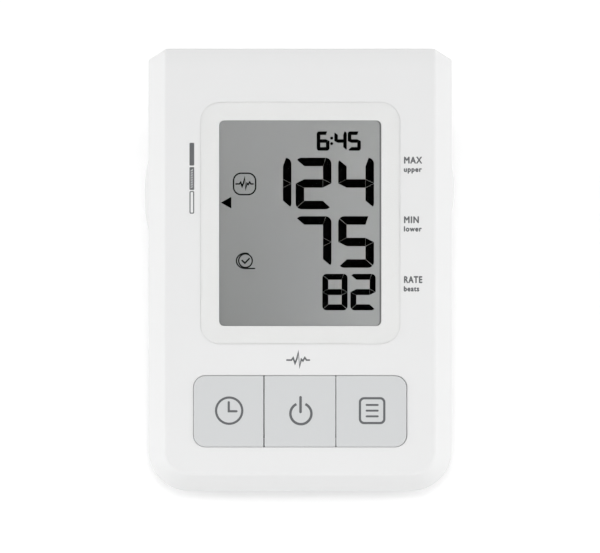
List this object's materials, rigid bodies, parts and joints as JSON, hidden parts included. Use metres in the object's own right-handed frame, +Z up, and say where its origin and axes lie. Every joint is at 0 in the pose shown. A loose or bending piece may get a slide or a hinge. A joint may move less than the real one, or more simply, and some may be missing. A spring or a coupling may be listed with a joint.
{
  "type": "upper arm blood pressure monitor",
  "caption": "Wedge-shaped table blood pressure monitor: tilted face with a large display and press keys, cuff air socket, adapter socket, battery door, and pump and valve inside.",
  "frame": {"origin": "centre of the bounding box, at the bottom of the feet", "axes": "+Z up from the table, +Y from the user towards the high back edge, +X to the user's right"},
  "size_m": [0.0987, 0.1301, 0.0625],
  "materials": {
    "shell_white": "satin, very fine texture",
    "door_white": "satin, very fine texture",
    "key_grey": "silk matt, soft edges",
    "lens_clear": "clear, glossy, with a white border printed behind it",
    "lcd_grey": "grey reflective liquid crystal glass",
    "frame_ivory": "matt moulded",
    "strip_pink": "soft, matt",
    "board_green": "solder mask",
    "chip_black": "matt moulded",
    "sensor_white": "matt moulded",
    "plunger_grey": "matt moulded",
    "steel_bright": "zinc plated",
    "spring_nickel": "nickel plated wire",
    "contact_nickel": "nickel plated sheet",
    "cell_wrap": "printed can, satin",
    "motor_steel": "plated can",
    "shaft_steel": "ground",
    "head_black": "matt moulded",
    "rubber_black": "matt",
    "foam_grey": "closed cell foam",
    "valve_black": "matt moulded",
    "hose_clear": "milky silicone",
    "cross_white": "matt moulded",
    "socket_white": "satin",
    "socket_grey": "satin",
    "nut_grey": "matt moulded",
    "feet_grey": "matt"
  },
  "bodies": {
    "housing": {"front_cover": "shell_white", "rear_cover": "shell_white", "display_lens": "lens_clear", "lens_gasket": "rubber_black", "lcd_panel": "lcd_grey", "lcd_frame": "frame_ivory", "lcd_connectors": "strip_pink", "main_board": "board_green", "control_chip": "chip_black", "pressure_sensor": "sensor_white", "switch_bodies": "chip_black", "board_screws": "steel_bright", "battery_cells": "cell_wrap", "battery_springs": "spring_nickel", "battery_contacts": "contact_nickel", "pump_motor": "motor_steel", "pump_head": "head_black", "pump_sleeve": "rubber_black", "pump_pad": "foam_grey", "exhaust_valve": "valve_black", "air_cross": "cross_white", "air_hoses": "hose_clear", "cuff_socket": "socket_white", "cuff_socket_nut": "nut_grey", "cuff_socket_seal": "rubber_black", "dc_socket": "socket_grey", "dc_pin": "contact_nickel", "dc_socket_nut": "nut_grey", "rubber_feet": "feet_grey", "case_screws": "steel_bright"},
    "time_key": {"key_time": "key_grey", "switch_plunger_time": "plunger_grey"},
    "power_key": {"key_power": "key_grey", "switch_plunger_power": "plunger_grey"},
    "memory_key": {"key_memory": "key_grey", "switch_plunger_memory": "plunger_grey"},
    "door": {"battery_door": "door_white"},
    "crank": {"pump_shaft": "shaft_steel"},
    "valve_core": {"valve_plunger": "shaft_steel"}
  },
  "joints": [
    {"name": "time_key_press", "type": "slide", "parent": "housing", "child": "time_key", "axis": [0, -0.309, 0.9511], "range_m": [-0.0005, 0], "stiffness_N_per_m": 800, "springref_m": 0.0005},
    {"name": "power_key_press", "type": "slide", "parent": "housing", "child": "power_key", "axis": [0, -0.309, 0.9511], "range_m": [-0.0005, 0], "stiffness_N_per_m": 800, "springref_m": 0.0005},
    {"name": "memory_key_press", "type": "slide", "parent": "housing", "child": "memory_key", "axis": [0, -0.309, 0.9511], "range_m": [-0.0005, 0], "stiffness_N_per_m": 800, "springref_m": 0.0005},
    {"name": "battery_door_slide", "type": "slide", "parent": "housing", "child": "door", "axis": [0, 1, 0], "range_m": [0, 0.065]},
    {"name": "pump_shaft_spin", "type": "hinge", "parent": "housing", "child": "crank", "pos_m": [-0.00855, 0.04864, 0.03255], "axis": [1, 0, 0], "continuous": true},
    {"name": "valve_plunger_slide", "type": "slide", "parent": "housing", "child": "valve_core", "axis": [0, 1, 0], "range_m": [0, 0.0008], "stiffness_N_per_m": 200, "springref_m": -0.001}
  ]
}
